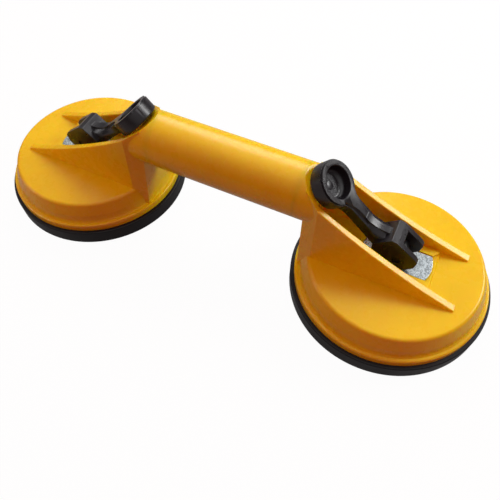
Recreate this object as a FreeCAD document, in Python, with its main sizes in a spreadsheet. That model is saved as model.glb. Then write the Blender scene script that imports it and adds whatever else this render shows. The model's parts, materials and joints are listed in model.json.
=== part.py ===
import FreeCAD, Part
import math
import os
import Sketcher

# A twin suction lifter for floor tiles, in millimetres.
#
# Each cup is drawn in its own frame: the origin on the floor under the cup's centre, +X pointing
# away from the handle and +Z up. The right cup is shifted along +X, and the left cup is the same
# set of pieces turned half a turn about Z.

# (word in the sheet, value, what it measures)
SIZES = (
    ("cup_spacing", 212.6, "centre to centre of the two cups"),
    ("lap", 1.0, "overlap drawn where one feature joins or cuts past another"),
    # rubber pad
    ("pad_radius", 60.0, "outer radius of the rubber"),
    ("pad_rim_top", 10.2, "top of the thick rubber rim, which carries the cover"),
    ("pad_rim_inner", 50.0, "inner radius of the thick rim"),
    ("pad_lip_inner", 54.0, "inner radius of the flat sealing lip"),
    ("pad_hollow", 2.5, "depth of the shallow hollow under the pad"),
    ("pad_hollow_radius", 48.0, "radius where the hollow is at full depth"),
    ("pad_skin", 4.0, "thickness of the rubber skin over the hollow"),
    ("pad_edge", 0.8, "rounding of the rim's outer edges"),
    ("pad_collar", 2.5, "width of the collar round the core plate"),
    ("pad_groove_depth", 0.7, "depth of the rings moulded in the hollow"),
    ("pad_groove_width", 1.6, "width of those rings"),
    ("pad_groove_pitch", 9.0, "step from ring to ring"),
    # core plate and stud
    ("core_radius", 26.0, "steel plate bonded on the rubber"),
    ("core_thick", 2.5, "its thickness"),
    ("core_gap", 0.3, "gap between the plate's edge and the rubber collar"),
    ("spigot_radius", 4.0, "stud's spigot in the core plate"),
    ("stud_radius", 5.0, "stud's shank"),
    ("shoulder_radius", 8.0, "stud's shoulder on the core plate"),
    ("shoulder_thick", 2.5, "its thickness"),
    ("tongue_thick", 8.4, "flattened upper part of the stud, between the cheeks"),
    ("tongue_reach", 12.0, "how far its flats run down from the pin"),
    ("stud_clear", 0.3, "gap between shank and the holes it slides in"),
    ("fit_clear", 0.05, "radial clearance of a close fit"),
    ("press_clear", 0.01, "radial clearance drawn where the pin is pressed in"),
    # cover of the cup
    ("flange_radius", 57.6, "cover's lowest, widest ring"),
    ("flange_inner", 52.0, "inner radius of that ring"),
    ("flange_height", 4.8, "height of the ring"),
    ("flange_edge", 1.0, "rounding of the ring's upper edge"),
    ("groove_radius", 55.5, "foot of the slope, in the groove above the ring"),
    ("groove_rise", 1.2, "height of the small groove over the ring"),
    ("slope_low_radius", 54.6, "slope, just above the groove"),
    ("slope_mid_radius", 53.8, "slope, where it leans over"),
    ("slope_rise", 4.3, "height over the groove where it leans over"),
    ("plate_radius", 50.6, "edge of the flat top"),
    ("plate_top", 28.5, "height of the flat top"),
    ("plate_edge", 2.4, "rounding of that edge"),
    ("cover_wall", 3.2, "thickness of the flat top"),
    ("rib_thick", 2.0, "ribs under the flat top"),
    ("rib_depth", 8.3, "depth of the ribs outside the core plate"),
    ("rib_depth_inner", 3.3, "their depth at the spring's guide ring"),
    ("rib_count", 8.0, "number of ribs"),
    ("guide_inner", 13.6, "inner radius of the ring that centres the spring"),
    ("guide_thick", 2.2, "thickness of that ring"),
    ("guide_depth", 5.3, "depth of that ring under the flat top"),
    # side walls, end of the handle
    ("wall_half", 20.0, "outer faces of the two side walls at their foot, from the middle plane"),
    ("wall_thick", 4.6, "thickness of the side walls at their foot"),
    ("wall_lean", 4.0, "inward lean of the walls' outer faces, in degrees"),
    ("space_lean", 2.5, "inward lean of their inner faces, in degrees"),
    ("wall_tip", 37.8, "reach of the walls' low outer tips"),
    ("wall_tip_rise", 1.0, "height of those tips over the flat top"),
    ("wall_edge", 0.6, "rounding of the walls' top edges"),
    ("wall_end", 59.4, "reach of the walls' top edge where it meets the top of the handle"),
    ("wall_sag", 3.8, "sag of that edge below the straight line between its ends"),
    ("crease", 45.5, "upright crease where the walls start to close in"),
    ("end_foot", 13.0, "lowest point of the closed end"),
    ("end_reach_low", 53.5, "reach of the closed end at its foot"),
    ("end_half_low", 17.9, "its half width at the foot"),
    ("end_reach_high", 55.2, "reach of the closed end at the top"),
    ("end_half_high", 10.7, "its half width at the top"),
    ("end_wall", 3.2, "thickness of the closed end"),
    ("end_shoulder", 46.9, "reach of the crease inside"),
    ("end_corner", 2.4, "set-in of its corners inside"),
    ("end_lap", 8.0, "how far the closed end runs in between the walls"),
    ("handle_radius", 16.5, "outer radius of the handle"),
    ("handle_height", 60.3, "height of the handle's axis"),
    ("handle_wall", 3.5, "thickness of the handle tube"),
    ("seam_reach", 60.0, "where the tube butts against the cover's stub"),
    ("plug_length", 12.0, "length of the plug inside the tube"),
    ("plug_wall", 2.5, "thickness of the plug"),
    # washer and its seat
    ("seat_half", 22.5, "half length of the raised seat"),
    ("seat_rise", 1.0, "height of the seat over the flat top"),
    ("seat_edge", 0.7, "chamfer of the seat"),
    ("rail_clear", 0.4, "gap between the washer's flats and the rails beside it"),
    ("rail_thick", 4.0, "thickness of the rails"),
    ("rail_rise", 1.9, "height of the rails over the seat"),
    ("rail_end", 18.8, "reach of a rail's inner corner"),
    ("washer_radius", 20.5, "round ends of the steel washer under the cam"),
    ("washer_thick", 1.5, "its thickness"),
    ("washer_edge", 0.3, "rounding of its edges"),
    ("washer_flat", 8.6, "its two flats, from the middle plane"),
    ("washer_hole", 6.2, "radius of its hole"),
    # spring
    ("spring_radius", 11.0, "mean radius of the spring"),
    ("spring_wire", 0.9, "radius of its wire"),
    ("spring_turns", 4.5, "number of turns"),
    ("spring_washer", 13.2, "radius of the thin washer over the spring"),
    ("spring_washer_thick", 1.0, "its thickness"),
    # lever
    ("pin_radius", 2.5, "pivot pin"),
    ("pin_recess", 0.6, "how far the pin's ends lie inside the cheeks"),
    ("cam_base", 7.5, "pivot's height over the washer with the cup released"),
    ("lever_lift", 4.0, "how far the cam lifts the stud"),
    ("lever_swing", 95.0, "turn of the lever, in degrees"),
    ("cam_clear", 0.05, "gap between cam and washer at both ends of the turn"),
    ("cam_ease", 0.35, "how far the cam's corners stay inside the lifting curve"),
    ("cam_flat", 3.0, "reach of the cam's flat foot"),
    ("cheek_half", 7.9, "outer faces of the cheeks, from the middle plane"),
    ("slot_half", 4.5, "inner faces of the cheeks"),
    ("heel_reach", 5.5, "reach of the cam's flat foot towards the handle"),
    ("back_reach", 14.8, "reach of the cheeks' back towards the handle"),
    ("back_low", 2.3, "lower corner of that back, over the pin's axis"),
    ("back_high", 7.1, "upper corner of that back, over the pin's axis"),
    ("front_reach", 9.4, "corner in front on the cheeks' upper edge"),
    ("front_high", 5.9, "height of that corner over the pin's axis"),
    ("cross_rise", 15.4, "top of the bar that joins the cheeks, over the pin's axis"),
    ("cross_back", 5.5, "back edge of that top"),
    ("cross_front", 2.2, "front edge of that top"),
    ("cross_slope", 0.7, "fall of that top towards the front"),
    ("head_reach", 41.3, "centre of the round head's face, towards the handle"),
    ("head_rise", 37.2, "height of that centre over the pin's axis"),
    ("head_tilt", 43.0, "lean of the face from level, in degrees"),
    ("head_radius", 12.7, "round head"),
    ("head_depth", 9.0, "its depth"),
    ("head_edge", 1.2, "rounding of its back"),
    ("face_radius", 12.1, "raised face ring of the head"),
    ("face_thick", 1.0, "step between the face ring and the head"),
    ("thumb_radius", 9.1, "round hollow in the head"),
    ("thumb_depth", 6.5, "its depth"),
    ("thumb_edge", 0.5, "rounding of its edge"),
    ("thumb_floor", 3.0, "rounding round its floor"),
    ("neck_half", 7.3, "half width of the neck where it leaves the head"),
    ("neck_start", 9.5, "distance from the head's centre to that place"),
    ("neck_end", 17.5, "distance from the head's centre to the end of the neck"),
    ("arm_half", 4.9, "half width of the arm"),
    ("arm_length", 43.0, "distance from the head's centre to the arm's end in the fork"),
    ("arm_depth", 7.2, "depth of the arm under the face"),
    ("arm_drop", 1.2, "how far the arm's shoulders lie below the face"),
    ("root_reach", 20.5, "where the arm's hollow curve into the fork begins"),
    ("root_high", 16.2, "height of that place over the pin's axis"),
    ("root_low", 11.9, "height over that axis where the curve meets the bar"),
    ("root_radius", 24.0, "radius of the curve"),
    ("root_foot", 7.5, "foot of the block drawn under the curve, over that axis"),
    ("root_back", 14.0, "reach of that foot towards the handle"),
    ("ridge_neck", 6.6, "half width of the ridge where it leaves the head"),
    ("ridge_start", 22.0, "distance from the head's centre to where the ridge is slim"),
    ("ridge_half", 2.2, "half width of the slim ridge"),
    ("ridge_reach", 22.5, "where the ridge's own curve begins"),
    ("ridge_high", 19.7, "height of that place over the pin's axis"),
    ("ridge_low", 13.9, "height over that axis where the ridge meets the bar"),
    ("ridge_radius", 20.0, "radius of the ridge's curve"),
    ("ridge_flat", 2.0, "length of its level end at the bar"),
    ("slot_clear", 0.6, "gap between the stud and the slot round it"),
    ("slot_front", 16.0, "reach of the cut that opens the slot in front"),
)


# distance under which two places count as one
TOUCH = 0.01


def make_sheet(doc):
    """The driving sizes, one row each."""
    sheet = doc.addObject("Spreadsheet::Sheet", "Sizes")
    for row, (word, value, note) in enumerate(SIZES, start=1):
        sheet.set(f"A{row}", note)
        sheet.set(f"B{row}", str(value))
        sheet.setAlias(f"B{row}", word)
    doc.recompute()
    return sheet


def bind(item, prop, formula):
    """Ties a property to sizes of the sheet; formula names them without the sheet's own name."""
    item.setExpression(prop, formula)


def new_body(doc, label, side):
    """A body in the frame of its cup: side is +1 on the right, -1 on the left, 0 in the middle."""
    body = doc.addObject("PartDesign::Body", label)
    body.Label = label
    turn = 180 if side < 0 else 0
    body.Placement = FreeCAD.Placement(FreeCAD.Vector(), FreeCAD.Rotation(FreeCAD.Vector(0, 0, 1), turn))
    bind(body, "Placement.Base.x", f"{side} * Sizes.cup_spacing / 2")
    return body


def new_sketch(body, name, plane, lift=None, shift=None, tilt=None):
    """A sketch on one of the body's own planes. lift moves it off the plane, along its normal."""
    sketch = body.newObject("Sketcher::SketchObject", f"{body.Label}_{name}")
    support = [item for item in body.Origin.OriginFeatures if item.Role == plane][0]
    sketch.AttachmentSupport = [(support, "")]
    sketch.MapMode = "FlatFace"
    if tilt:
        axis = FreeCAD.Vector(0, 1, 0)
        sketch.AttachmentOffset = FreeCAD.Placement(FreeCAD.Vector(), FreeCAD.Rotation(axis, 1))
        bind(sketch, "AttachmentOffset.Rotation.Angle", tilt)
    if lift:
        bind(sketch, "AttachmentOffset.Base.z", lift)
    if shift:
        bind(sketch, "AttachmentOffset.Base.x", shift)
    return sketch


def hold(sketch, kind, side, end, formula, value):
    """Holds one end of a side at a distance from the sketch's origin."""
    row = sketch.addConstraint(Sketcher.Constraint(kind, -1, 1, side, end, value))
    bind(sketch, f"Constraints[{row}]", formula)


def arc_between(start, stop, radius, turn):
    """The shorter arc from start to stop that curves left or right, drawn anticlockwise."""
    chord = stop - start
    rise = math.sqrt(max(radius ** 2 - chord.Length ** 2 / 4, 0))
    normal = FreeCAD.Vector(-chord.y, chord.x, 0).normalize()
    centre = (start + stop) / 2 + normal * (rise if turn == "left" else -rise)
    first, last = (start, stop) if turn == "left" else (stop, start)
    begin = math.atan2(first.y - centre.y, first.x - centre.x)
    end = math.atan2(last.y - centre.y, last.x - centre.x)
    if end < begin:
        end += 2 * math.pi
    circle = Part.Circle(centre, FreeCAD.Vector(0, 0, 1), radius)
    return Part.ArcOfCircle(circle, begin, end)


def outline(sketch, corners):
    """A closed outline whose corners are held by formulas.

    A corner is (x, y), or (x, y, radius, turn) where the side that leaves it is an arc of that
    radius, which curves "left" or "right".
    """
    places = []
    for corner in corners:
        x = float(sketch.evalExpression(corner[0]))
        y = float(sketch.evalExpression(corner[1]))
        places.append(FreeCAD.Vector(x, y, 0))
    first = sketch.GeometryCount
    ends = []
    for index, corner in enumerate(corners):
        start = places[index]
        stop = places[(index + 1) % len(corners)]
        if len(corner) == 2:
            sketch.addGeometry(Part.LineSegment(start, stop), False)
            ends.append((1, 2))
        else:
            radius = float(sketch.evalExpression(corner[2]))
            sketch.addGeometry(arc_between(start, stop, radius, corner[3]), False)
            ends.append((1, 2) if corner[3] == "left" else (2, 1))
    for index in range(len(corners)):
        after = (index + 1) % len(corners)
        joint = Sketcher.Constraint("Coincident", first + index, ends[index][1], first + after, ends[after][0])
        sketch.addConstraint(joint)
    for index, corner in enumerate(corners):
        hold(sketch, "DistanceX", first + index, ends[index][0], corner[0], places[index].x)
        hold(sketch, "DistanceY", first + index, ends[index][0], corner[1], places[index].y)
        if len(corner) == 4:
            radius = float(sketch.evalExpression(corner[2]))
            row = sketch.addConstraint(Sketcher.Constraint("Radius", first + index, radius))
            bind(sketch, f"Constraints[{row}]", corner[2])
    return sketch


def circle(sketch, radius, x="0", y="0"):
    """A circle whose centre and radius are held by formulas."""
    size = float(sketch.evalExpression(radius))
    centre = FreeCAD.Vector(float(sketch.evalExpression(x)), float(sketch.evalExpression(y)), 0)
    row = sketch.addGeometry(Part.Circle(centre, FreeCAD.Vector(0, 0, 1), size), False)
    hold(sketch, "DistanceX", row, 3, x, centre.x)
    hold(sketch, "DistanceY", row, 3, y, centre.y)
    held = sketch.addConstraint(Sketcher.Constraint("Radius", row, size))
    bind(sketch, f"Constraints[{held}]", radius)
    return sketch


def extrude(body, kind, sketch, name, length, both=False, reverse=False):
    """A Pad or Pocket of a sketch; both spreads the length to the two sides of its plane."""
    feature = body.newObject(f"PartDesign::{kind}", f"{body.Label}_{name}")
    feature.Profile = sketch
    bind(feature, "Length", length)
    feature.Midplane = both
    feature.Reversed = reverse
    sketch.Visibility = False
    return feature


def turn_round(body, kind, sketch, name):
    """A Revolution or Groove of a sketch about the cup's upright axis."""
    feature = body.newObject(f"PartDesign::{kind}", f"{body.Label}_{name}")
    feature.Profile = sketch
    feature.ReferenceAxis = (sketch, ["V_Axis"])
    feature.Angle = 360
    sketch.Visibility = False
    return feature


def loft(body, kind, low, high, name):
    """A straight loft between two sketches."""
    feature = body.newObject(f"PartDesign::{kind}", f"{body.Label}_{name}")
    feature.Profile = low
    feature.Sections = [high]
    feature.Ruled = True
    return feature


def edges(feature, test):
    """Names of the feature's edges that pass a test."""
    return [f"Edge{row}" for row, edge in enumerate(feature.Shape.Edges, start=1) if test(edge)]


def soften(doc, body, kind, name, size, test):
    """A Fillet or Chamfer on those edges of the body's last feature that pass a test."""
    doc.recompute()
    base = body.Tip
    chosen = edges(base, test)
    if not chosen:
        raise RuntimeError(f"{body.Label}: no edge for {name}")
    feature = body.newObject(f"PartDesign::{kind}", f"{body.Label}_{name}")
    feature.Base = (base, chosen)
    bind(feature, "Radius" if kind == "Fillet" else "Size", size)
    return feature


def value(doc, formula):
    """The number that a formula gives."""
    return float(doc.Sizes.evalExpression(formula))


def on_circle(doc, radius, height):
    """A test for round edges of a radius whose centre lies at a height."""
    def test(edge):
        if not isinstance(edge.Curve, Part.Circle):
            return False
        level = abs(edge.Curve.Center.z - value(doc, height)) < TOUCH
        return level and abs(edge.Curve.Radius - value(doc, radius)) < TOUCH
    return test


# ---------------------------------------------------------------- rubber pad


def rubber_pad(doc, label, side):
    """Thick-rimmed rubber disc with a shallow hollow below and a collar for the core plate."""
    body = new_body(doc, label, side)
    skin_top = "(Sizes.pad_hollow + Sizes.pad_skin)"
    collar_inner = "(Sizes.core_radius + Sizes.core_gap)"
    profile = new_sketch(body, "profile", "XZ_Plane")
    outline(profile, [
        ("0", "Sizes.pad_hollow"),
        ("Sizes.pad_hollow_radius", "Sizes.pad_hollow"),
        ("Sizes.pad_lip_inner", "0"),
        ("Sizes.pad_radius - Sizes.pad_edge", "0", "Sizes.pad_edge", "left"),
        ("Sizes.pad_radius", "Sizes.pad_edge"),
        ("Sizes.pad_radius", "Sizes.pad_rim_top - Sizes.pad_edge", "Sizes.pad_edge", "left"),
        ("Sizes.pad_radius - Sizes.pad_edge", "Sizes.pad_rim_top"),
        ("Sizes.pad_rim_inner", "Sizes.pad_rim_top"),
        ("Sizes.pad_rim_inner - Sizes.pad_collar", skin_top),
        (f"{collar_inner} + 2 * Sizes.pad_collar", skin_top),
        (f"{collar_inner} + Sizes.pad_collar", f"{skin_top} + Sizes.core_thick"),
        (collar_inner, f"{skin_top} + Sizes.core_thick"),
        (collar_inner, skin_top),
        ("0", skin_top),
    ])
    turn_round(body, "Revolution", profile, "disc")
    rings = new_sketch(body, "rings", "XZ_Plane")
    for step in (2, 3, 4):
        inner = f"{step} * Sizes.pad_groove_pitch"
        outer = f"({inner} + Sizes.pad_groove_width)"
        outline(rings, [
            (inner, "Sizes.pad_hollow - Sizes.lap"),
            (outer, "Sizes.pad_hollow - Sizes.lap"),
            (outer, "Sizes.pad_hollow + Sizes.pad_groove_depth"),
            (inner, "Sizes.pad_hollow + Sizes.pad_groove_depth"),
        ])
    turn_round(body, "Groove", rings, "ring_grooves")
    return body


# ---------------------------------------------------------------- core plate, stud, spring

PLATE_FOOT = "(Sizes.pad_hollow + Sizes.pad_skin)"
PLATE_TOP = f"({PLATE_FOOT} + Sizes.core_thick)"
FLANGE_TOP = "(Sizes.pad_rim_top + Sizes.flange_height)"
SEAT_TOP = "(Sizes.plate_top + Sizes.seat_rise)"
WASHER_TOP = f"({SEAT_TOP} + Sizes.washer_thick)"
PIN_HEIGHT = f"({WASHER_TOP} + Sizes.cam_base)"
CROSS_TOP = f"({PIN_HEIGHT} + Sizes.cross_rise)"
HEAD_HEIGHT = f"({PIN_HEIGHT} + Sizes.head_rise)"
COVER_UNDER = "(Sizes.plate_top - Sizes.cover_wall)"


def core_plate(doc, label, side):
    """Steel disc bonded on the rubber, with the hole that the stud's spigot fills."""
    body = new_body(doc, label, side)
    disc = new_sketch(body, "disc", "XY_Plane", lift=PLATE_FOOT)
    circle(disc, "Sizes.core_radius")
    circle(disc, "Sizes.spigot_radius + Sizes.fit_clear")
    extrude(body, "Pad", disc, "plate", "Sizes.core_thick")
    return body


def stud(doc, label, side):
    """Turned steel stud: spigot, shoulder and shank, flattened above to fit between the cheeks."""
    body = new_body(doc, label, side)
    shoulder_top = f"({PLATE_TOP} + Sizes.shoulder_thick)"
    top = f"({PIN_HEIGHT} + Sizes.stud_radius)"
    profile = new_sketch(body, "profile", "XZ_Plane")
    outline(profile, [
        ("0", PLATE_FOOT),
        ("Sizes.spigot_radius", PLATE_FOOT),
        ("Sizes.spigot_radius", PLATE_TOP),
        ("Sizes.shoulder_radius", PLATE_TOP),
        ("Sizes.shoulder_radius", shoulder_top),
        ("Sizes.stud_radius", shoulder_top),
        ("Sizes.stud_radius", top),
        ("0", top),
    ])
    turn_round(body, "Revolution", profile, "shank")
    flats = new_sketch(body, "flats", "YZ_Plane")
    for sign in ("", "-"):
        outline(flats, [
            (f"{sign}Sizes.tongue_thick / 2", f"{PIN_HEIGHT} - Sizes.tongue_reach"),
            (f"{sign}Sizes.shoulder_radius", f"{PIN_HEIGHT} - Sizes.tongue_reach"),
            (f"{sign}Sizes.shoulder_radius", f"{top} + Sizes.lap"),
            (f"{sign}Sizes.tongue_thick / 2", f"{top} + Sizes.lap"),
        ])
    extrude(body, "Pocket", flats, "tongue_flats", "4 * Sizes.stud_radius", both=True)
    crown = new_sketch(body, "crown", "XZ_Plane")
    outline(crown, [
        ("Sizes.stud_radius", PIN_HEIGHT, "Sizes.stud_radius", "left"),
        ("0", f"{PIN_HEIGHT} + Sizes.stud_radius", "Sizes.stud_radius", "left"),
        ("-Sizes.stud_radius", PIN_HEIGHT),
        ("-Sizes.stud_radius - Sizes.lap", PIN_HEIGHT),
        ("-Sizes.stud_radius - Sizes.lap", f"{top} + Sizes.lap"),
        ("Sizes.stud_radius + Sizes.lap", f"{top} + Sizes.lap"),
        ("Sizes.stud_radius + Sizes.lap", PIN_HEIGHT),
    ])
    extrude(body, "Pocket", crown, "round_crown", "4 * Sizes.stud_radius", both=True)
    cross = new_sketch(body, "cross_hole", "XZ_Plane")
    circle(cross, "Sizes.pin_radius + Sizes.fit_clear", "0", PIN_HEIGHT)
    extrude(body, "Pocket", cross, "pin_hole", "4 * Sizes.stud_radius", both=True)
    return body


SPRING_TOP = f"({COVER_UNDER} - Sizes.spring_washer_thick)"


def return_spring(doc, label, side):
    """Coil spring between the core plate and the cover, its ends ground flat."""
    body = new_body(doc, label, side)
    height = f"({SPRING_TOP} - {PLATE_TOP})"
    wire = new_sketch(body, "wire", "XZ_Plane")
    circle(wire, "Sizes.spring_wire", "Sizes.spring_radius", PLATE_TOP)
    helix = body.newObject("PartDesign::AdditiveHelix", f"{label}_helix")
    helix.Profile = wire
    helix.ReferenceAxis = (wire, ["V_Axis"])
    helix.Mode = "pitch-height-angle"
    bind(helix, "Pitch", f"{height} / Sizes.spring_turns")
    bind(helix, "Height", height)
    doc.recompute()
    for name, plane, reverse in (("foot", PLATE_TOP, False), ("top", SPRING_TOP, True)):
        trim = new_sketch(body, name, "XY_Plane", lift=plane)
        circle(trim, "2 * Sizes.spring_radius")
        extrude(body, "Pocket", trim, f"ground_{name}", "4 * Sizes.spring_wire", reverse=reverse)
    return body


def spring_washer(doc, label, side):
    """Thin steel ring that keeps the spring off the plastic."""
    body = new_body(doc, label, side)
    ring = new_sketch(body, "ring", "XY_Plane", lift=SPRING_TOP)
    circle(ring, "Sizes.spring_washer")
    circle(ring, "Sizes.stud_radius + Sizes.stud_clear")
    extrude(body, "Pad", ring, "plate", "Sizes.spring_washer_thick")
    return body


# ---------------------------------------------------------------- cover with walls and handle stub


HANDLE_TOP = "(Sizes.handle_height + Sizes.handle_radius)"
PEAK = f"({HANDLE_TOP} + Sizes.lap)"


def half_at(height, foot, lean):
    """Half width, at a height, of faces that lean inward from their foot on the flat top."""
    return f"({foot} - (({height}) - Sizes.plate_top) * tan({lean}))"


def outer_half(height):
    """Outer faces of the side walls at a height."""
    return half_at(height, "Sizes.wall_half", "Sizes.wall_lean")


def inner_half(height):
    """Inner faces of the side walls at a height."""
    return half_at(height, "(Sizes.wall_half - Sizes.wall_thick)", "Sizes.space_lean")


def edge_radius():
    """Radius of the hollow arc that the walls' top edge follows."""
    fall = f"({HANDLE_TOP} - Sizes.plate_top - Sizes.wall_tip_rise)"
    chord = f"((Sizes.wall_tip + Sizes.wall_end) ^ 2 + {fall} ^ 2)"
    return f"({chord} / (8 * Sizes.wall_sag) + Sizes.wall_sag / 2)"


def end_section(body, name, height, shoulder, side, end, half):
    """Plan of the closed end at one height: from the walls' width in to the end's own width."""
    sketch = new_sketch(body, name, "XY_Plane", lift=height)
    mouth = "-Sizes.crease + Sizes.end_lap"
    outline(sketch, [
        (mouth, f"-{side}"),
        (mouth, side),
        (shoulder, side),
        (end, half),
        (end, f"-({half})"),
        (shoulder, f"-{side}"),
    ])
    return sketch


def cover_disc(doc, body):
    """The round cover, still solid underneath."""
    groove_top = f"{FLANGE_TOP} + Sizes.groove_rise"
    profile = new_sketch(body, "cover", "XZ_Plane")
    outline(profile, [
        ("0", "Sizes.pad_rim_top"),
        ("Sizes.flange_radius", "Sizes.pad_rim_top"),
        ("Sizes.flange_radius", FLANGE_TOP),
        ("Sizes.groove_radius", FLANGE_TOP),
        ("Sizes.slope_low_radius", groove_top),
        ("Sizes.slope_mid_radius", f"{groove_top} + Sizes.slope_rise"),
        ("Sizes.plate_radius", "Sizes.plate_top"),
        ("0", "Sizes.plate_top"),
    ])
    turn_round(body, "Revolution", profile, "cover_disc")
    top = on_circle(doc, "Sizes.plate_radius", "Sizes.plate_top")
    soften(doc, body, "Fillet", "top_rounding", "Sizes.plate_edge", top)
    ring = on_circle(doc, "Sizes.flange_radius", FLANGE_TOP)
    soften(doc, body, "Fillet", "ring_rounding", "Sizes.flange_edge", ring)


def along_wall(doc, half):
    """A test for edges that lie in the faces whose half width at each height is given."""
    def test(edge):
        ends = [corner.Point for corner in edge.Vertexes]
        return all(abs(abs(end.y) - value(doc, half(end.z))) < TOUCH for end in ends)
    return test


def side_walls(body):
    """One block as wide as both walls, its sides leaning in towards the top."""
    section = new_sketch(body, "wall_section", "YZ_Plane", lift="-Sizes.crease")
    outline(section, [
        (f"-{outer_half(COVER_UNDER)}", COVER_UNDER),
        (outer_half(COVER_UNDER), COVER_UNDER),
        (outer_half(PEAK), PEAK),
        (f"-{outer_half(PEAK)}", PEAK),
    ])
    extrude(body, "Pad", section, "walls", "Sizes.crease + Sizes.wall_tip")


def closed_end(body):
    """The tapering end under the handle, and the handle's stub with its plug."""
    low = end_section(body, "end_low", "Sizes.end_foot", "-Sizes.crease", outer_half("Sizes.end_foot"),
                      "-Sizes.end_reach_low", "Sizes.end_half_low")
    high = end_section(body, "end_high", PEAK, "-Sizes.crease", outer_half(PEAK),
                       "-Sizes.end_reach_high", "Sizes.end_half_high")
    loft(body, "AdditiveLoft", low, high, "closed_end")
    stub = new_sketch(body, "stub", "YZ_Plane", lift="-Sizes.seam_reach")
    circle(stub, "Sizes.handle_radius", "0", "Sizes.handle_height")
    extrude(body, "Pad", stub, "handle_stub", "Sizes.seam_reach - Sizes.crease + Sizes.end_lap")
    plug = new_sketch(body, "plug", "YZ_Plane", lift="-Sizes.seam_reach")
    circle(plug, "Sizes.handle_radius - Sizes.handle_wall - Sizes.fit_clear", "0", "Sizes.handle_height")
    extrude(body, "Pad", plug, "handle_plug", "Sizes.plug_length", reverse=True)


def sloping_cut(body):
    """Takes off all that stands over the walls' hollow top edge."""
    over = new_sketch(body, "over", "XZ_Plane")
    above = "Sizes.handle_height + 2 * Sizes.handle_radius"
    outline(over, [
        ("-Sizes.wall_end", HANDLE_TOP, edge_radius(), "left"),
        ("Sizes.wall_tip", "Sizes.plate_top + Sizes.wall_tip_rise"),
        ("Sizes.wall_tip + Sizes.lap", "Sizes.plate_top + Sizes.wall_tip_rise"),
        ("Sizes.wall_tip + Sizes.lap", above),
        ("-Sizes.wall_end", above),
    ])
    extrude(body, "Pocket", over, "sloping_top", "4 * Sizes.wall_half", both=True)


def wall_space(body):
    """The open space between the walls, which runs into the closed end and the handle."""
    section = new_sketch(body, "space", "YZ_Plane", lift="-Sizes.crease + Sizes.end_lap / 2")
    outline(section, [
        (f"-{inner_half('Sizes.plate_top')}", "Sizes.plate_top"),
        (inner_half("Sizes.plate_top"), "Sizes.plate_top"),
        (inner_half(PEAK), PEAK),
        (f"-{inner_half(PEAK)}", PEAK),
    ])
    extrude(body, "Pocket", section, "space", "Sizes.crease + Sizes.plate_radius", reverse=True)
    shoulder = "-Sizes.end_shoulder"
    low = end_section(body, "inner_low", "Sizes.plate_top", shoulder, inner_half("Sizes.plate_top"),
                      "-Sizes.end_reach_low + Sizes.end_wall", "Sizes.end_half_low - Sizes.end_corner")
    high = end_section(body, "inner_high", PEAK, shoulder, inner_half(PEAK),
                       "-Sizes.end_reach_high + Sizes.end_wall", "Sizes.end_half_high - Sizes.end_corner")
    loft(body, "SubtractiveLoft", low, high, "inner_end")
    plug_bore = new_sketch(body, "plug_bore", "YZ_Plane", lift="-Sizes.seam_reach - Sizes.plug_length")
    circle(plug_bore, "Sizes.handle_radius - Sizes.handle_wall - Sizes.plug_wall", "0", "Sizes.handle_height")
    inward = "Sizes.seam_reach - Sizes.end_reach_high - Sizes.lap"
    extrude(body, "Pocket", plug_bore, "plug_bore", f"Sizes.plug_length + {inward}", reverse=True)


def wall_roundings(doc, body):
    """Rounds the walls' hollow top edges, inside and outside."""
    outside = along_wall(doc, outer_half)
    inside = along_wall(doc, inner_half)

    def top_edge(edge):
        """True for the long edges along the walls' hollow top."""
        return isinstance(edge.Curve, Part.Ellipse) and (outside(edge) or inside(edge))

    soften(doc, body, "Fillet", "wall_tops", "Sizes.wall_edge", top_edge)


def washer_seat(doc, body):
    """Raised seat for the washer, with a rail along each of its flats."""
    side = f"({inner_half('Sizes.plate_top')} + Sizes.lap)"
    plan = new_sketch(body, "seat", "XY_Plane", lift="Sizes.plate_top - Sizes.lap")
    outline(plan, [
        ("-Sizes.seat_half", f"-{side}"),
        ("Sizes.seat_half", f"-{side}"),
        ("Sizes.seat_half", side),
        ("-Sizes.seat_half", side),
    ])
    extrude(body, "Pad", plan, "seat", "Sizes.seat_rise + Sizes.lap")
    doc.recompute()

    def across_end(edge):
        """True for the seat's two upper edges that run from wall to wall."""
        middle = edge.BoundBox.Center
        high = middle.z > value(doc, SEAT_TOP) - TOUCH
        return high and abs(abs(middle.x) - value(doc, "Sizes.seat_half")) < TOUCH

    soften(doc, body, "Chamfer", "seat_edges", "Sizes.seat_edge", across_end)
    rails = new_sketch(body, "rails", "XY_Plane", lift=f"{SEAT_TOP} - Sizes.lap")
    near = "(Sizes.washer_flat + Sizes.rail_clear)"
    far = f"({near} + Sizes.rail_thick)"
    for sign in ("", "-"):
        outline(rails, [
            ("-Sizes.rail_end", f"{sign}{near}"),
            ("Sizes.rail_end", f"{sign}{near}"),
            ("Sizes.seat_half - Sizes.seat_edge", f"{sign}{far}"),
            ("-Sizes.seat_half + Sizes.seat_edge", f"{sign}{far}"),
        ])
    extrude(body, "Pad", rails, "rails", "Sizes.rail_rise + Sizes.lap")


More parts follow.
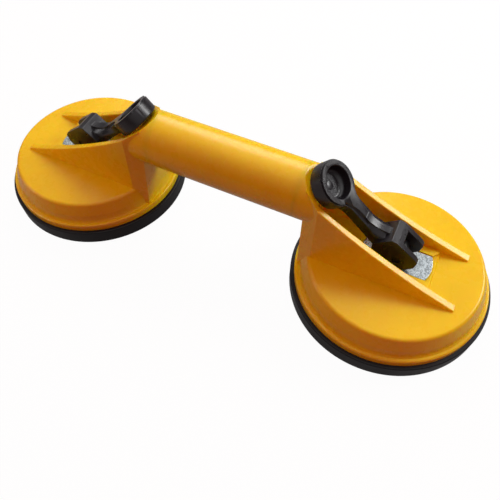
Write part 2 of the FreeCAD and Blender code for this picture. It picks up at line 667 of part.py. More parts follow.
def underside(doc, body):
    """Hollows the cover from below and adds the spring's guide ring, the ribs and the stud's hole."""
    hollow = new_sketch(body, "hollow", "XZ_Plane")
    outline(hollow, [
        ("0", "Sizes.pad_rim_top - Sizes.lap"),
        ("Sizes.flange_inner", "Sizes.pad_rim_top - Sizes.lap"),
        ("Sizes.flange_inner", FLANGE_TOP),
        ("Sizes.plate_radius - Sizes.cover_wall", COVER_UNDER),
        ("0", COVER_UNDER),
    ])
    turn_round(body, "Groove", hollow, "hollow")
    rib = new_sketch(body, "rib", "XZ_Plane")
    outline(rib, [
        ("Sizes.guide_inner + Sizes.guide_thick / 2", f"{COVER_UNDER} - Sizes.rib_depth_inner"),
        ("Sizes.core_radius", f"{COVER_UNDER} - Sizes.rib_depth"),
        ("Sizes.flange_inner", f"{COVER_UNDER} - Sizes.rib_depth"),
        ("Sizes.plate_radius - Sizes.cover_wall + Sizes.lap", f"{COVER_UNDER} + Sizes.lap"),
        ("Sizes.guide_inner + Sizes.guide_thick / 2", f"{COVER_UNDER} + Sizes.lap"),
    ])
    rib_pad = extrude(body, "Pad", rib, "rib", "Sizes.rib_thick", both=True)
    doc.recompute()
    pattern = body.newObject("PartDesign::PolarPattern", f"{body.Label}_ribs")
    pattern.Originals = [rib_pad]
    pattern.Axis = (rib, ["V_Axis"])
    pattern.Angle = 360
    bind(pattern, "Occurrences", "Sizes.rib_count")
    body.Tip = pattern
    guide = new_sketch(body, "guide", "XY_Plane", lift=f"{COVER_UNDER} - Sizes.guide_depth")
    circle(guide, "Sizes.guide_inner + Sizes.guide_thick")
    circle(guide, "Sizes.guide_inner")
    extrude(body, "Pad", guide, "spring_guide", "Sizes.guide_depth + Sizes.lap")
    hole = new_sketch(body, "stud_hole", "XY_Plane", lift=f"{COVER_UNDER} - Sizes.lap")
    circle(hole, "Sizes.stud_radius + Sizes.stud_clear")
    extrude(body, "Pocket", hole, "stud_hole", f"{SEAT_TOP} - {COVER_UNDER} + 2 * Sizes.lap", reverse=True)


def housing(doc, label, side):
    """Moulded cover of one cup, with its two walls, closed end and handle stub."""
    body = new_body(doc, label, side)
    cover_disc(doc, body)
    side_walls(body)
    closed_end(body)
    sloping_cut(body)
    wall_space(body)
    wall_roundings(doc, body)
    washer_seat(doc, body)
    underside(doc, body)
    return body


def handle_tube(doc, label):
    """Round tube between the two covers, pushed over their plugs."""
    body = new_body(doc, label, 0)
    ring = new_sketch(body, "ring", "YZ_Plane")
    circle(ring, "Sizes.handle_radius", "0", "Sizes.handle_height")
    circle(ring, "Sizes.handle_radius - Sizes.handle_wall", "0", "Sizes.handle_height")
    extrude(body, "Pad", ring, "tube", "Sizes.cup_spacing - 2 * Sizes.seam_reach", both=True)
    return body


# ---------------------------------------------------------------- washer, lever, pin


def cam_washer(doc, label, side):
    """Steel washer that the cam rides on, with two flats that stop it turning."""
    body = new_body(doc, label, side)
    disc = new_sketch(body, "disc", "XY_Plane", lift=SEAT_TOP)
    half_chord = "sqrt(Sizes.washer_radius ^ 2 - Sizes.washer_flat ^ 2)"
    outline(disc, [
        (f"-{half_chord}", "-Sizes.washer_flat"),
        (half_chord, "-Sizes.washer_flat", "Sizes.washer_radius", "left"),
        (half_chord, "Sizes.washer_flat"),
        (f"-{half_chord}", "Sizes.washer_flat", "Sizes.washer_radius", "left"),
    ])
    circle(disc, "Sizes.washer_hole")
    extrude(body, "Pad", disc, "plate", "Sizes.washer_thick")
    doc.recompute()

    hole = on_circle(doc, "Sizes.washer_hole", WASHER_TOP)

    def upper_rim(edge):
        """True for the outer edges of the washer's upper side."""
        return edge.BoundBox.ZMin > value(doc, WASHER_TOP) - TOUCH and not hole(edge)

    soften(doc, body, "Fillet", "upper_rim", "Sizes.washer_edge", upper_rim)
    return body


def cam_corner(turn):
    """A corner of the cam, turn degrees round from its foot, just inside the lifting curve."""
    reach = f"(Sizes.cam_base + Sizes.lever_lift * {turn} / Sizes.lever_swing - Sizes.cam_ease)"
    return (f"{reach} * sin({turn})", f"{PIN_HEIGHT} - {reach} * cos({turn})")


def cam_nose():
    """The corner that rests on the washer when the lever is thrown over."""
    reach = "(Sizes.cam_base + Sizes.lever_lift - Sizes.cam_clear)"
    creep = "(Sizes.lever_lift / Sizes.lever_swing * 180 / pi)"
    swing = "Sizes.lever_swing"
    across = f"{reach} * sin({swing}) + {creep} * cos({swing})"
    up = f"{PIN_HEIGHT} - {reach} * cos({swing}) + {creep} * sin({swing})"
    return (across, up)


def face_sketch(body, name, depth):
    """A sketch square to the round head's axis, depth below its face, with +X down the arm."""
    lift = f"{HEAD_HEIGHT} - {depth} * cos(Sizes.head_tilt)"
    shift = f"-Sizes.head_reach - {depth} * sin(Sizes.head_tilt)"
    return new_sketch(body, name, "XY_Plane", lift=lift, shift=shift, tilt="Sizes.head_tilt")


def lever_fork(body):
    """Solid block that becomes the two cheeks, with the cam along its lower and outer sides."""
    base = f"({WASHER_TOP} + Sizes.cam_clear)"
    fork = new_sketch(body, "fork", "XZ_Plane")
    outline(fork, [
        ("-Sizes.heel_reach", base),
        ("Sizes.cam_flat", base),
        cam_corner(42),
        cam_corner(81),
        cam_nose(),
        ("Sizes.front_reach", f"{PIN_HEIGHT} + Sizes.front_high"),
        ("-Sizes.cross_front", f"{CROSS_TOP} - Sizes.cross_slope"),
        ("-Sizes.cross_back", CROSS_TOP),
        ("-Sizes.back_reach", f"{PIN_HEIGHT} + Sizes.back_high"),
        ("-Sizes.back_reach", f"{PIN_HEIGHT} + Sizes.back_low"),
    ])
    extrude(body, "Pad", fork, "cheeks", "2 * Sizes.cheek_half", both=True)


def slab(body, name, depth, thick, wide, slim, reach):
    """A strip down the arm, its two sides curving in from wide, at the neck, to slim at reach."""
    plan = face_sketch(body, name, depth)
    run = f"({reach} - Sizes.neck_start)"
    flare = f"({wide} - {slim})"
    radius = f"(({run} ^ 2 + {flare} ^ 2) / (2 * {flare}))"
    outline(plan, [
        ("Sizes.neck_start", f"-{wide}", radius, "right"),
        (reach, f"-{slim}"),
        ("Sizes.arm_length", f"-{slim}"),
        ("Sizes.arm_length", slim),
        (reach, slim, radius, "right"),
        ("Sizes.neck_start", wide),
    ])
    extrude(body, "Pad", plan, name, thick, reverse=True)


def lever_arm(doc, body):
    """Round head, neck and arm, all square to the head's axis."""
    face = face_sketch(body, "face", "0")
    circle(face, "Sizes.face_radius")
    extrude(body, "Pad", face, "head_face", "Sizes.head_depth / 2", reverse=True)
    head = face_sketch(body, "head", "Sizes.face_thick")
    circle(head, "Sizes.head_radius")
    extrude(body, "Pad", head, "head", "Sizes.head_depth - Sizes.face_thick", reverse=True)
    back = on_circle(doc, "Sizes.head_radius", f"{HEAD_HEIGHT} - Sizes.head_depth * cos(Sizes.head_tilt)")
    soften(doc, body, "Fillet", "head_rounding", "Sizes.head_edge", back)
    slab(body, "arm", "Sizes.arm_drop", "Sizes.arm_depth - Sizes.arm_drop",
         "Sizes.neck_half", "Sizes.arm_half", "Sizes.neck_end")
    slab(body, "ridge_top", "0", "2 * Sizes.arm_drop", "Sizes.ridge_neck", "Sizes.ridge_half", "Sizes.ridge_start")


def lever_root(body):
    """The arm's hollow curve into the fork, with the ridge along its middle."""
    end = "-Sizes.cross_back + Sizes.lap"
    foot = f"{PIN_HEIGHT} + Sizes.root_foot"
    shoulder = new_sketch(body, "shoulder", "XZ_Plane")
    outline(shoulder, [
        ("-Sizes.root_reach", f"{PIN_HEIGHT} + Sizes.root_high", "Sizes.root_radius", "left"),
        (end, f"{PIN_HEIGHT} + Sizes.root_low"),
        (end, foot),
        ("-Sizes.root_back", foot),
    ])
    extrude(body, "Pad", shoulder, "shoulder", "2 * Sizes.arm_half", both=True)
    ridge = new_sketch(body, "ridge", "XZ_Plane")
    outline(ridge, [
        ("-Sizes.ridge_reach", f"{PIN_HEIGHT} + Sizes.ridge_high", "Sizes.ridge_radius", "left"),
        (f"{end} - Sizes.ridge_flat", f"{PIN_HEIGHT} + Sizes.ridge_low"),
        (end, f"{PIN_HEIGHT} + Sizes.ridge_low"),
        (end, foot),
        ("-Sizes.root_back", foot),
    ])
    extrude(body, "Pad", ridge, "ridge", "2 * Sizes.ridge_half", both=True)


def stud_slot(body):
    """The slot between the cheeks, round the stud and open in front of the bar, and the pin's hole."""
    slot = new_sketch(body, "slot", "XZ_Plane")
    reach = "(Sizes.stud_radius + Sizes.slot_clear)"
    below = f"{WASHER_TOP} - Sizes.lap"
    above = f"{CROSS_TOP} + Sizes.lap"
    outline(slot, [
        (f"-{reach}", below),
        (f"-{reach}", PIN_HEIGHT, reach, "right"),
        ("0", f"{PIN_HEIGHT} + {reach}"),
        ("Sizes.slot_clear", f"{PIN_HEIGHT} + {reach}"),
        ("Sizes.slot_clear", above),
        ("Sizes.slot_front", above),
        ("Sizes.slot_front", below),
    ])
    extrude(body, "Pocket", slot, "slot", "2 * Sizes.slot_half", both=True)
    hole = new_sketch(body, "pin_hole", "XZ_Plane")
    circle(hole, "Sizes.pin_radius + Sizes.press_clear", "0", PIN_HEIGHT)
    extrude(body, "Pocket", hole, "pin_hole", "4 * Sizes.cheek_half", both=True)


def lever(doc, label, side):
    """Cam lever: a fork with two cheeks, an arm with a ridge, and a round head with a thumb hollow."""
    body = new_body(doc, label, side)
    lever_fork(body)
    lever_arm(doc, body)
    lever_root(body)
    stud_slot(body)
    thumb = face_sketch(body, "thumb", "0")
    circle(thumb, "Sizes.thumb_radius")
    extrude(body, "Pocket", thumb, "thumb_hollow", "Sizes.thumb_depth")
    floor = on_circle(doc, "Sizes.thumb_radius", f"{HEAD_HEIGHT} - Sizes.thumb_depth * cos(Sizes.head_tilt)")
    soften(doc, body, "Fillet", "thumb_floor", "Sizes.thumb_floor", floor)
    mouth = on_circle(doc, "Sizes.thumb_radius", HEAD_HEIGHT)
    soften(doc, body, "Fillet", "thumb_mouth", "Sizes.thumb_edge", mouth)
    return body


def pivot_pin(doc, label, side):
    """Steel pin through the cheeks and the stud."""
    body = new_body(doc, label, side)
    ring = new_sketch(body, "ring", "XZ_Plane")
    circle(ring, "Sizes.pin_radius", "0", PIN_HEIGHT)
    extrude(body, "Pad", ring, "pin", "2 * (Sizes.cheek_half - Sizes.pin_recess)", both=True)
    return body


CUP_PIECES = (
    ("rubber_pad", rubber_pad),
    ("core_plate", core_plate),
    ("stud", stud),
    ("return_spring", return_spring),
    ("spring_washer", spring_washer),
    ("housing", housing),
    ("cam_washer", cam_washer),
    ("lever", lever),
    ("pivot_pin", pivot_pin),
)


def check(doc, parts):
    """Stops with a plain message where any object failed or a piece is not a sound solid."""
    for item in doc.Objects:
        if "Invalid" in item.State or "Error" in item.State:
            raise RuntimeError(f"{item.Label} failed: {item.State}")
    for part in parts:
        shape = part.Shape
        if shape.isNull() or not shape.isValid() or not shape.Solids:
            raise RuntimeError(f"{part.Label} is not a sound solid")


def main():
    doc = FreeCAD.newDocument("suction_lifter")
    make_sheet(doc)
    parts = [handle_tube(doc, "handle_tube")]
    for side, name in ((-1, "left"), (1, "right")):
        for piece, build in CUP_PIECES:
            parts.append(build(doc, f"{name}_{piece}", side))
    doc.recompute()
    check(doc, parts)
    os.makedirs("parts", exist_ok=True)
    for part in parts:
        part.Shape.exportStep(f"parts/{part.Label}.step")
        box = part.Shape.BoundBox
        print(part.Label, len(part.Shape.Solids), round(part.Shape.Volume, 1),
              [round(number, 2) for number in (box.XMin, box.XMax, box.YMin, box.YMax, box.ZMin, box.ZMax)])


main()
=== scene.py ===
import json
import math

import bmesh
import bpy
from mathutils import Matrix, Vector

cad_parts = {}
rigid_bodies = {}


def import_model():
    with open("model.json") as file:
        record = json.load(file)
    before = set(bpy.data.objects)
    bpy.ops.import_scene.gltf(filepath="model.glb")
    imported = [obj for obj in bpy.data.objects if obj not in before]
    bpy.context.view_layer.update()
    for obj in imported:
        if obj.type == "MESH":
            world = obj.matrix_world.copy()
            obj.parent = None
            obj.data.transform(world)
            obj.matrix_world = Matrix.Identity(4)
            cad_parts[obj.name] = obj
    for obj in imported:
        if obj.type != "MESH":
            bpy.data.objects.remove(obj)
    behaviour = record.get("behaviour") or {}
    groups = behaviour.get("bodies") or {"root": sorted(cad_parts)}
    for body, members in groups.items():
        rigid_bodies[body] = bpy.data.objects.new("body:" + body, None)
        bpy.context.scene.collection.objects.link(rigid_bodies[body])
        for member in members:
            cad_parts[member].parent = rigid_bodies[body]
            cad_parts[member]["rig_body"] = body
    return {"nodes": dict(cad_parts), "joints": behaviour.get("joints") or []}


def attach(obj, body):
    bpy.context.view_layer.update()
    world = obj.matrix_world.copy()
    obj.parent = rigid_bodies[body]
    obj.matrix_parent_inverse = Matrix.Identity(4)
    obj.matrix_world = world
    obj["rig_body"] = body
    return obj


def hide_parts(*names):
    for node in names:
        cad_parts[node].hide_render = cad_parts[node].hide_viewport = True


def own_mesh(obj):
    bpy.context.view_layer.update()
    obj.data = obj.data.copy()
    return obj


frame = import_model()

bl_info = {
    "name": "Suction Lifter",
    "version": (1, 0, 0),
    "blender": (4, 5, 0),
    "location": "View3D > Sidebar > Lifter",
    "description": "Finishes a twin-cup suction lifter for tiles and sets it on a plain stage",
    "category": "Object",
}

SIDES = ("left", "right")

# A lever's head, in metres from its hinge: the face is inward and up, and leans outward
HEAD_REACH = 0.0413
HEAD_RISE = 0.0372
HEAD_LEAN = math.radians(43)
HOLLOW_DEPTH = 0.0065

# The push-out pin's mark on the floor of the thumb hollow
MARK_RADIUS = 0.0024
MARK_DEPTH = 0.0003
MARK_EDGE = 0.00006

# Merging a copied mesh, and rounding a lever's long sharp edges
MERGE_DISTANCE = 0.000002
FLAT_ANGLE = math.radians(0.6)
SHARP_ANGLE = math.radians(30)
SPRING_SMOOTH_ANGLE = math.radians(35)
LONG_EDGE = 0.0025
LEVER_EDGE = 0.0003
BEVEL_SEGMENTS = 2

# Most of a noise texture's values lie between these
NOISE_LOW = 0.3
NOISE_HIGH = 0.7

# Stage: each lamp's setting, place and size, and what they all face
LAMPS = (
    ("key", (0.51, 0.38, 0.42), 0.24),
    ("top", (-0.05, 0.15, 1.1), 0.9),
    ("back", (-0.25, 0.60, 0.60), 0.5),
    ("side", (-0.55, -0.25, 0.25), 0.15),
    ("front", (0.45, -0.55, 0.30), 0.5),
)
LAMP_AIM = (0.03, 0, 0.03)
FLOOR_SIZE = 6
FLOOR_DROP = 0.0002
FLOOR_SHADOW_SHARE = 0.03
FLOOR_MIRRORED_SHARE = 0.3
CEILING_LOW = 0.1
CEILING_HIGH = 0.9
CEILING_LEAST = 0.05


# ---------------------------------------------------------------- settings


class LifterColours(bpy.types.PropertyGroup):
    """Colours of the lifter's materials."""

    housing: bpy.props.FloatVectorProperty(
        name="Housing", description="Yellow moulded plastic of the covers and the handle",
        subtype="COLOR", size=3, min=0, max=1, default=(0.89, 0.70, 0.004))
    lever: bpy.props.FloatVectorProperty(
        name="Lever", description="Black moulded plastic of the cam levers",
        subtype="COLOR", size=3, min=0, max=1, default=(0.009, 0.009, 0.012))
    rubber: bpy.props.FloatVectorProperty(
        name="Rubber", description="Black rubber of the pads",
        subtype="COLOR", size=3, min=0, max=1, default=(0.005, 0.005, 0.006))
    zinc: bpy.props.FloatVectorProperty(
        name="Galvanised steel", description="Spangled zinc on the washers under the cams",
        subtype="COLOR", size=3, min=0, max=1, default=(0.42, 0.46, 0.48))
    steel: bpy.props.FloatVectorProperty(
        name="Plated steel", description="Studs, core plates and thin washers",
        subtype="COLOR", size=3, min=0, max=1, default=(0.55, 0.55, 0.54))
    floor: bpy.props.FloatVectorProperty(
        name="Floor", description="Pale floor under the lifter",
        subtype="COLOR", size=3, min=0, max=1, default=(1.0, 1.0, 1.0))


class LifterStage(bpy.types.PropertyGroup):
    """Camera and lamps."""

    place: bpy.props.FloatVectorProperty(
        name="Camera place", description="Where the camera stands",
        subtype="TRANSLATION", unit="LENGTH", size=3, default=(0.1005, -0.1737, 0.2754))
    turn: bpy.props.FloatProperty(
        name="Camera turn", description="Turn of the camera about the upright axis",
        subtype="ANGLE", default=math.radians(27.01))
    rise: bpy.props.FloatProperty(
        name="Camera rise", description="How far the camera looks down",
        subtype="ANGLE", default=math.radians(56.91))
    roll: bpy.props.FloatProperty(
        name="Camera roll", description="Roll about the line of sight",
        subtype="ANGLE", default=math.radians(-1.49))
    lens: bpy.props.FloatProperty(
        name="Lens", description="Focal length on a 36 mm sensor", unit="CAMERA", default=36.07)
    key: bpy.props.FloatProperty(
        name="Key lamp", description="Power of the lamp behind and to the right",
        subtype="POWER", default=2.3, min=0)
    top: bpy.props.FloatProperty(
        name="Top lamp", description="Power of the large lamp overhead",
        subtype="POWER", default=1.5, min=0)
    back: bpy.props.FloatProperty(
        name="Back lamp", description="Power of the lamp behind and to the left",
        subtype="POWER", default=3.9, min=0)
    side: bpy.props.FloatProperty(
        name="Side lamp", description="Power of the low lamp on the left",
        subtype="POWER", default=0.4, min=0)
    front: bpy.props.FloatProperty(
        name="Front lamp", description="Power of the low lamp in front",
        subtype="POWER", default=0.1, min=0)
    fill: bpy.props.FloatVectorProperty(
        name="Fill light", description="Colour and strength of the light from all round",
        subtype="COLOR", size=3, min=0, max=2, default=(0.40, 0.065, 0.03))


# ---------------------------------------------------------------- materials


def new_material(name):
    """A material with its shader, and the coordinates its patterns follow."""
    material = bpy.data.materials.new(name)
    material.use_nodes = True
    nodes = material.node_tree.nodes
    nodes.clear()
    output = nodes.new("ShaderNodeOutputMaterial")
    shader = nodes.new("ShaderNodeBsdfPrincipled")
    material.node_tree.links.new(shader.outputs["BSDF"], output.inputs["Surface"])
    place = nodes.new("ShaderNodeTexCoord")
    return material, shader, place.outputs["Object"]


def noise(material, place, scale, detail=2.0, roughness=0.5):
    """Cloudy noise of that many cells in a metre."""
    node = material.node_tree.nodes.new("ShaderNodeTexNoise")
    node.inputs["Scale"].default_value = scale
    node.inputs["Detail"].default_value = detail
    node.inputs["Roughness"].default_value = roughness
    material.node_tree.links.new(place, node.inputs["Vector"])
    return node.outputs["Fac"]


def cells(material, place, scale):
    """Random flat cells, as zinc spangles are, of that many in a metre."""
    node = material.node_tree.nodes.new("ShaderNodeTexVoronoi")
    node.inputs["Scale"].default_value = scale
    material.node_tree.links.new(place, node.inputs["Vector"])
    grey = material.node_tree.nodes.new("ShaderNodeRGBToBW")
    material.node_tree.links.new(node.outputs["Color"], grey.inputs["Color"])
    return grey.outputs["Val"]


def spread(material, value, low, high):
    """A noise value spread over low to high."""
    node = material.node_tree.nodes.new("ShaderNodeMapRange")
    node.inputs["From Min"].default_value = NOISE_LOW
    node.inputs["From Max"].default_value = NOISE_HIGH
    node.inputs["To Min"].default_value = low
    node.inputs["To Max"].default_value = high
    material.node_tree.links.new(value, node.inputs["Value"])
    return node.outputs["Result"]


def between(material, value, first, second):
    """A colour between two, by a noise value."""
    ramp = material.node_tree.nodes.new("ShaderNodeValToRGB")
    ramp.color_ramp.elements[0].position = NOISE_LOW
    ramp.color_ramp.elements[0].color = (*first, 1)
    ramp.color_ramp.elements[1].position = NOISE_HIGH
    ramp.color_ramp.elements[1].color = (*second, 1)
    material.node_tree.links.new(value, ramp.inputs["Fac"])
    return ramp.outputs["Color"]


def roughen(material, shader, value, low, high):
    """Gloss that varies with a noise value, from roughness low to high."""
    material.node_tree.links.new(spread(material, value, low, high), shader.inputs["Roughness"])


def bump(material, shader, height, depth):
    """Shallow relief of that many metres."""
    node = material.node_tree.nodes.new("ShaderNodeBump")
    node.inputs["Strength"].default_value = 1.0
    node.inputs["Distance"].default_value = depth
    material.node_tree.links.new(height, node.inputs["Height"])
    material.node_tree.links.new(node.outputs["Normal"], shader.inputs["Normal"])


def shade(colour, share):
    """A colour made darker or lighter by a share."""
    return tuple(min(1.0, part * share) for part in colour)


def moulded_yellow(colour):
    """Satin yellow plastic: faint flow clouds, a fine grain, and light that bleeds a little."""
    material, shader, place = new_material("moulded_yellow")
    clouds = noise(material, place, scale=38, detail=3)
    tint = between(material, clouds, shade(colour, 0.96), shade(colour, 1.03))
    material.node_tree.links.new(tint, shader.inputs["Base Color"])
    roughen(material, shader, noise(material, place, scale=160, detail=4), low=0.24, high=0.31)
    shader.inputs["Specular IOR Level"].default_value = 0.32
    shader.inputs["Subsurface Weight"].default_value = 0.45
    shader.inputs["Subsurface Radius"].default_value = (1.0, 0.35, 0.06)
    shader.inputs["Subsurface Scale"].default_value = 0.004
    bump(material, shader, noise(material, place, scale=5200), depth=0.000004)
    return material


def moulded_black(colour):
    """Satin black plastic with the fine spark-eroded grain of a mould."""
    material, shader, place = new_material("moulded_black")
    clouds = noise(material, place, scale=90, detail=3)
    tint = between(material, clouds, shade(colour, 0.8), shade(colour, 1.5))
    material.node_tree.links.new(tint, shader.inputs["Base Color"])
    roughen(material, shader, noise(material, place, scale=420, detail=4), low=0.26, high=0.36)
    bump(material, shader, noise(material, place, scale=3800, detail=3), depth=0.00002)
    return material


def black_rubber(colour):
    """Matte rubber with a faint bloom."""
    material, shader, place = new_material("black_rubber")
    bloom = noise(material, place, scale=70, detail=5, roughness=0.6)
    tint = between(material, bloom, shade(colour, 0.7), shade(colour, 2.2))
    material.node_tree.links.new(tint, shader.inputs["Base Color"])
    roughen(material, shader, bloom, low=0.40, high=0.55)
    shader.inputs["Specular IOR Level"].default_value = 0.2
    bump(material, shader, noise(material, place, scale=2600, detail=3), depth=0.00002)
    return material


def galvanised_steel(colour):
    """Hot-dip zinc: small spangles that differ in tone and gloss, under a grey haze."""
    material, shader, place = new_material("galvanised_steel")
    spangle = cells(material, place, scale=1400)
    tint = between(material, spangle, shade(colour, 0.66), shade(colour, 1.05))
    material.node_tree.links.new(tint, shader.inputs["Base Color"])
    roughen(material, shader, spangle, low=0.20, high=0.34)
    shader.inputs["Metallic"].default_value = 1.0
    bump(material, shader, noise(material, place, scale=2400, detail=4), depth=0.00002)
    return material


def plated_steel(name, colour, roughness):
    """Plated or oiled steel with fine wear in its gloss."""
    material, shader, place = new_material(name)
    wear = noise(material, place, scale=600, detail=5, roughness=0.6)
    tint = between(material, wear, shade(colour, 0.8), shade(colour, 1.1))
    material.node_tree.links.new(tint, shader.inputs["Base Color"])
    roughen(material, shader, wear, low=roughness, high=roughness + 0.15)
    shader.inputs["Metallic"].default_value = 1.0
    return material


def dress(node, material):
    """Gives a CAD node its material."""
    item = frame["nodes"][node]
    if not item.material_slots:
        item.data.materials.append(material)
    for place in item.material_slots:
        place.material = material


# ---------------------------------------------------------------- pieces


def joint_named(name):
    """One of the frame's joints."""
    return next(joint for joint in frame["joints"] if joint["name"] == name)


def shaped_copy(node, name):
    """A merged copy of a CAD node's mesh, with its flat faces made whole, ready to be shaped."""
    bpy.ops.object.select_all(action="DESELECT")
    copy = bpy.data.objects.new(name, frame["nodes"][node].data.copy())
    bpy.context.collection.objects.link(copy)
    copy.select_set(True)
    bpy.context.view_layer.objects.active = copy
    bpy.ops.object.mode_set(mode="EDIT")
    bpy.ops.mesh.select_all(action="SELECT")
    bpy.ops.mesh.remove_doubles(threshold=MERGE_DISTANCE)
    bpy.ops.mesh.dissolve_limited(angle_limit=FLAT_ANGLE)
    bpy.ops.object.mode_set(mode="OBJECT")
    return copy


def mark_edges(piece, shortest, sharpest):
    """Marks a piece's long sharp edges for the bevel."""
    weights = piece.data.attributes.new("bevel_weight_edge", "FLOAT", "EDGE")
    mesh = bmesh.new()
    mesh.from_mesh(piece.data)
    mesh.edges.ensure_lookup_table()
    for edge in mesh.edges:
        if edge.is_manifold and edge.calc_length() > shortest and edge.calc_face_angle() > sharpest:
            weights.data[edge.index].value = 1.0
    mesh.free()


def apply(piece, kind, **settings):
    """Adds a modifier with those settings and applies it."""
    modifier = piece.modifiers.new(kind.title(), kind)
    for name, value in settings.items():
        setattr(modifier, name, value)
    bpy.ops.object.modifier_apply(modifier=modifier.name)


def finish_piece(piece, material, node):
    """Gives a piece its material and puts it in its node's place."""
    piece.data.materials.clear()
    piece.data.materials.append(material)
    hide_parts(node)
    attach(piece, frame["nodes"][node]["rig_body"])


class LIFTER_OT_housings(bpy.types.Operator):
    """Finish the two covers and the handle between them in yellow plastic"""

    bl_idname = "lifter.housings"
    bl_label = "Covers and Handle"

    def execute(self, context):
        yellow = moulded_yellow(context.scene.lifter_colours.housing)
        dress("handle_tube", yellow)
        for side in SIDES:
            dress(f"{side}_housing", yellow)
        return {"FINISHED"}


def hollow_floor(side):
    """Middle of the floor of a lever's thumb hollow, and the way it faces."""
    outward = 1 if side == "right" else -1
    facing = Vector((outward * math.sin(HEAD_LEAN), 0, math.cos(HEAD_LEAN)))
    hinge = Vector(joint_named(f"{side}_lever_hinge")["pos_m"])
    face = hinge + Vector((-outward * HEAD_REACH, 0, HEAD_RISE))
    return face - HOLLOW_DEPTH * facing, facing


def add_moulding_mark(lever, side):
    """The round mark that the mould's push-out pin leaves on the hollow's floor."""
    place, facing = hollow_floor(side)
    bpy.ops.object.select_all(action="DESELECT")
    bpy.ops.mesh.primitive_cylinder_add(
        vertices=40, radius=MARK_RADIUS, depth=MARK_DEPTH, location=place,
        rotation=facing.to_track_quat("Z", "Y").to_euler())
    mark = bpy.context.object
    bpy.ops.object.transform_apply()
    apply(mark, "BEVEL", width=MARK_EDGE, segments=BEVEL_SEGMENTS, limit_method="ANGLE")
    bpy.ops.object.shade_smooth_by_angle(angle=SHARP_ANGLE)
    lever.select_set(True)
    bpy.context.view_layer.objects.active = lever
    bpy.ops.object.join()


class LIFTER_OT_levers(bpy.types.Operator):
    """Finish the two cam levers in black plastic"""

    bl_idname = "lifter.levers"
    bl_label = "Cam Levers"

    def execute(self, context):
        black = moulded_black(context.scene.lifter_colours.lever)
        for side in SIDES:
            lever = shaped_copy(f"{side}_lever", f"{side}_cam_lever")
            bpy.ops.object.shade_smooth_by_angle(angle=SHARP_ANGLE)
            mark_edges(lever, LONG_EDGE, SHARP_ANGLE)
            apply(lever, "BEVEL", width=LEVER_EDGE, segments=BEVEL_SEGMENTS, limit_method="WEIGHT",
                  use_clamp_overlap=False, harden_normals=True)
            add_moulding_mark(lever, side)
            finish_piece(lever, black, f"{side}_lever")
        return {"FINISHED"}


class LIFTER_OT_pads(bpy.types.Operator):
    """Finish the two suction pads in rubber"""

    bl_idname = "lifter.pads"
    bl_label = "Rubber Pads"

    def execute(self, context):
        rubber = black_rubber(context.scene.lifter_colours.rubber)
        for side in SIDES:
            dress(f"{side}_rubber_pad", rubber)
        return {"FINISHED"}


def add_spring(side, material):
    """A return spring: a smoothed copy of the CAD node's mesh, put in the node's place."""
    node = f"{side}_return_spring"
    spring = shaped_copy(node, f"{side}_coil_spring")
    bpy.ops.object.shade_smooth_by_angle(angle=SPRING_SMOOTH_ANGLE)
    finish_piece(spring, material, node)
    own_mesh(spring)


class LIFTER_OT_steel_parts(bpy.types.Operator):
    """Finish the washers, studs, core plates, springs and pins"""

    bl_idname = "lifter.steel_parts"
    bl_label = "Steel Parts"

    def execute(self, context):
        colours = context.scene.lifter_colours
        finishes = {
            "cam_washer": galvanised_steel(colours.zinc),
            # The plated stud is darkened to near black as painted shade, standing in for the shadow
            # inside the lever's slot
            "stud": plated_steel("blackened_stud", shade(colours.steel, 0.1), 0.35),
            "core_plate": plated_steel("zinc_plated_plate", colours.steel, 0.35),
            "spring_washer": plated_steel("zinc_plated_washer", colours.steel, 0.3),
            "pivot_pin": plated_steel("blackened_pin", shade(colours.steel, 0.08), 0.4),
        }
        spring_steel = plated_steel("oiled_spring", shade(colours.steel, 0.6), 0.3)
        for side in SIDES:
            for piece, finish in finishes.items():
                dress(f"{side}_{piece}", finish)
            add_spring(side, spring_steel)
        return {"FINISHED"}


# ---------------------------------------------------------------- stage


def sight(tree, mirrored):
    """How far a ray counts as seen: 1 for the camera and glass, and a share for mirrored light."""
    path = tree.nodes.new("ShaderNodeLightPath")
    direct = tree.nodes.new("ShaderNodeMath")
    direct.operation = "MAXIMUM"
    tree.links.new(path.outputs["Is Camera Ray"], direct.inputs[0])
    tree.links.new(path.outputs["Is Transmission Ray"], direct.inputs[1])
    share = tree.nodes.new("ShaderNodeMath")
    share.operation = "MULTIPLY_ADD"
    tree.links.new(path.outputs["Is Glossy Ray"], share.inputs[0])
    tree.links.new(direct.outputs["Value"], share.inputs[2])
    if isinstance(mirrored, float):
        share.inputs[1].default_value = mirrored
    else:
        tree.links.new(mirrored, share.inputs[1])
    return share.outputs["Value"]


def mixed(tree, share, first, second):
    """Two shaders mixed by a share."""
    mix = tree.nodes.new("ShaderNodeMixShader")
    if isinstance(share, float):
        mix.inputs["Fac"].default_value = share
    else:
        tree.links.new(share, mix.inputs["Fac"])
    tree.links.new(first, mix.inputs[1])
    tree.links.new(second, mix.inputs[2])
    return mix.outputs["Shader"]


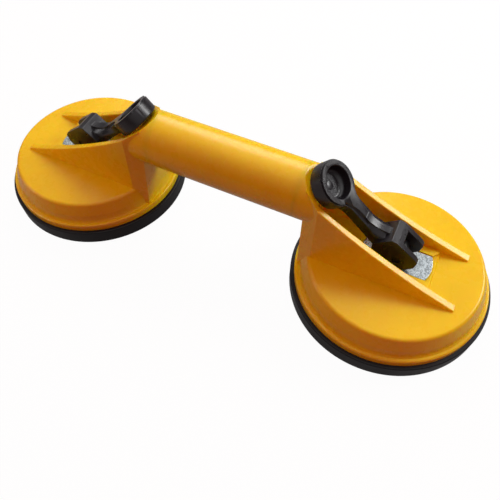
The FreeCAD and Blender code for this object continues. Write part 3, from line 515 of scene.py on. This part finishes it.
def add_floor(colour):
    """A pale floor that keeps a faint shadow."""
    bpy.ops.mesh.primitive_plane_add(size=FLOOR_SIZE, location=(0, 0, -FLOOR_DROP))
    floor = bpy.context.object
    floor.name = "studio_floor"
    material = bpy.data.materials.new("pale_floor")
    material.use_nodes = True
    tree = material.node_tree
    tree.nodes.clear()
    output = tree.nodes.new("ShaderNodeOutputMaterial")
    glow = tree.nodes.new("ShaderNodeEmission")
    glow.inputs["Color"].default_value = (*colour, 1)
    glow.inputs["Strength"].default_value = 1.0
    card = tree.nodes.new("ShaderNodeBsdfDiffuse")
    card.inputs["Color"].default_value = (*shade(colour, 0.95), 1)
    pale = mixed(tree, FLOOR_SHADOW_SHARE, glow.outputs["Emission"], card.outputs["BSDF"])
    dim = tree.nodes.new("ShaderNodeBsdfDiffuse")
    dim.inputs["Color"].default_value = (*shade(colour, 0.12), 1)
    both = mixed(tree, sight(tree, FLOOR_MIRRORED_SHARE), dim.outputs["BSDF"], pale)
    tree.links.new(both, output.inputs["Surface"])
    floor.data.materials.append(material)


def add_lamp(name, place, size, power):
    """A square lamp that faces the lifter."""
    bpy.ops.object.light_add(type="AREA", location=place)
    lamp = bpy.context.object
    lamp.name = name
    lamp.rotation_euler = (Vector(place) - Vector(LAMP_AIM)).to_track_quat("Z", "Y").to_euler()
    lamp.data.size = size
    lamp.data.energy = power


def add_world(fill):
    """White to the eye, and a dim warm light from all round."""
    world = bpy.data.worlds.new("studio")
    bpy.context.scene.world = world
    world.use_nodes = True
    tree = world.node_tree
    tree.nodes.clear()
    output = tree.nodes.new("ShaderNodeOutputWorld")
    seen = tree.nodes.new("ShaderNodeBackground")
    seen.inputs["Color"].default_value = (1, 1, 1, 1)
    seen.inputs["Strength"].default_value = 1.0
    light = tree.nodes.new("ShaderNodeBackground")
    light.inputs["Color"].default_value = (*fill, 1)
    path = tree.nodes.new("ShaderNodeLightPath")
    unmirrored = tree.nodes.new("ShaderNodeMath")
    unmirrored.operation = "SUBTRACT"
    unmirrored.inputs[0].default_value = 1.0
    tree.links.new(path.outputs["Is Glossy Ray"], unmirrored.inputs[1])
    tree.links.new(unmirrored.outputs["Value"], light.inputs["Strength"])
    place = tree.nodes.new("ShaderNodeTexCoord")
    height = tree.nodes.new("ShaderNodeSeparateXYZ")
    tree.links.new(place.outputs["Generated"], height.inputs["Vector"])
    ceiling = tree.nodes.new("ShaderNodeMapRange")
    ceiling.inputs["From Min"].default_value = CEILING_LOW
    ceiling.inputs["From Max"].default_value = CEILING_HIGH
    ceiling.inputs["To Min"].default_value = CEILING_LEAST
    tree.links.new(height.outputs["Z"], ceiling.inputs["Value"])
    share = sight(tree, ceiling.outputs["Result"])
    both = mixed(tree, share, light.outputs["Background"], seen.outputs["Background"])
    tree.links.new(both, output.inputs["Surface"])


def add_camera(stage):
    """The camera, placed by its own turn, rise and roll."""
    back = Vector((math.sin(stage.turn) * math.cos(stage.rise),
                   -math.cos(stage.turn) * math.cos(stage.rise), math.sin(stage.rise)))
    across = (-back).cross(Vector((0, 0, 1))).normalized()
    up = back.cross(across)
    rolled = math.cos(stage.roll) * across + math.sin(stage.roll) * up
    upright = -math.sin(stage.roll) * across + math.cos(stage.roll) * up
    bpy.ops.object.camera_add(location=stage.place)
    camera = bpy.context.object
    camera.rotation_euler = Matrix((rolled, upright, back)).transposed().to_euler()
    camera.data.lens = stage.lens
    camera.data.sensor_width = 36
    camera.data.clip_start = 0.01
    bpy.context.scene.camera = camera


class LIFTER_OT_stage(bpy.types.Operator):
    """Add the floor, the lamps, the world and the camera"""

    bl_idname = "lifter.stage"
    bl_label = "Stage"

    def execute(self, context):
        stage = context.scene.lifter_stage
        add_floor(context.scene.lifter_colours.floor)
        for setting, place, size in LAMPS:
            add_lamp(f"{setting}_lamp", place, size, getattr(stage, setting))
        add_world(stage.fill)
        add_camera(stage)
        context.scene.view_settings.view_transform = "Standard"
        return {"FINISHED"}


class LIFTER_PT_panel(bpy.types.Panel):
    """Colours, stage and pieces of the suction lifter"""

    bl_label = "Suction Lifter"
    bl_space_type = "VIEW_3D"
    bl_region_type = "UI"
    bl_category = "Lifter"

    def draw(self, context):
        for group in (context.scene.lifter_colours, context.scene.lifter_stage):
            box = self.layout.box()
            for name in group.__annotations__:
                box.prop(group, name)
        for operator in OPERATORS:
            self.layout.operator(operator.bl_idname)


OPERATORS = (
    LIFTER_OT_housings, LIFTER_OT_levers, LIFTER_OT_pads, LIFTER_OT_steel_parts, LIFTER_OT_stage,
)
CLASSES = (LifterColours, LifterStage, *OPERATORS, LIFTER_PT_panel)


def register():
    for item in CLASSES:
        bpy.utils.register_class(item)
    bpy.types.Scene.lifter_colours = bpy.props.PointerProperty(type=LifterColours)
    bpy.types.Scene.lifter_stage = bpy.props.PointerProperty(type=LifterStage)


def unregister():
    del bpy.types.Scene.lifter_stage
    del bpy.types.Scene.lifter_colours
    for item in reversed(CLASSES):
        bpy.utils.unregister_class(item)


def main():
    register()
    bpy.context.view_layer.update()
    bpy.ops.lifter.housings()
    bpy.ops.lifter.levers()
    bpy.ops.lifter.pads()
    bpy.ops.lifter.steel_parts()
    bpy.ops.lifter.stage()


if __name__ == "__main__":
    main()
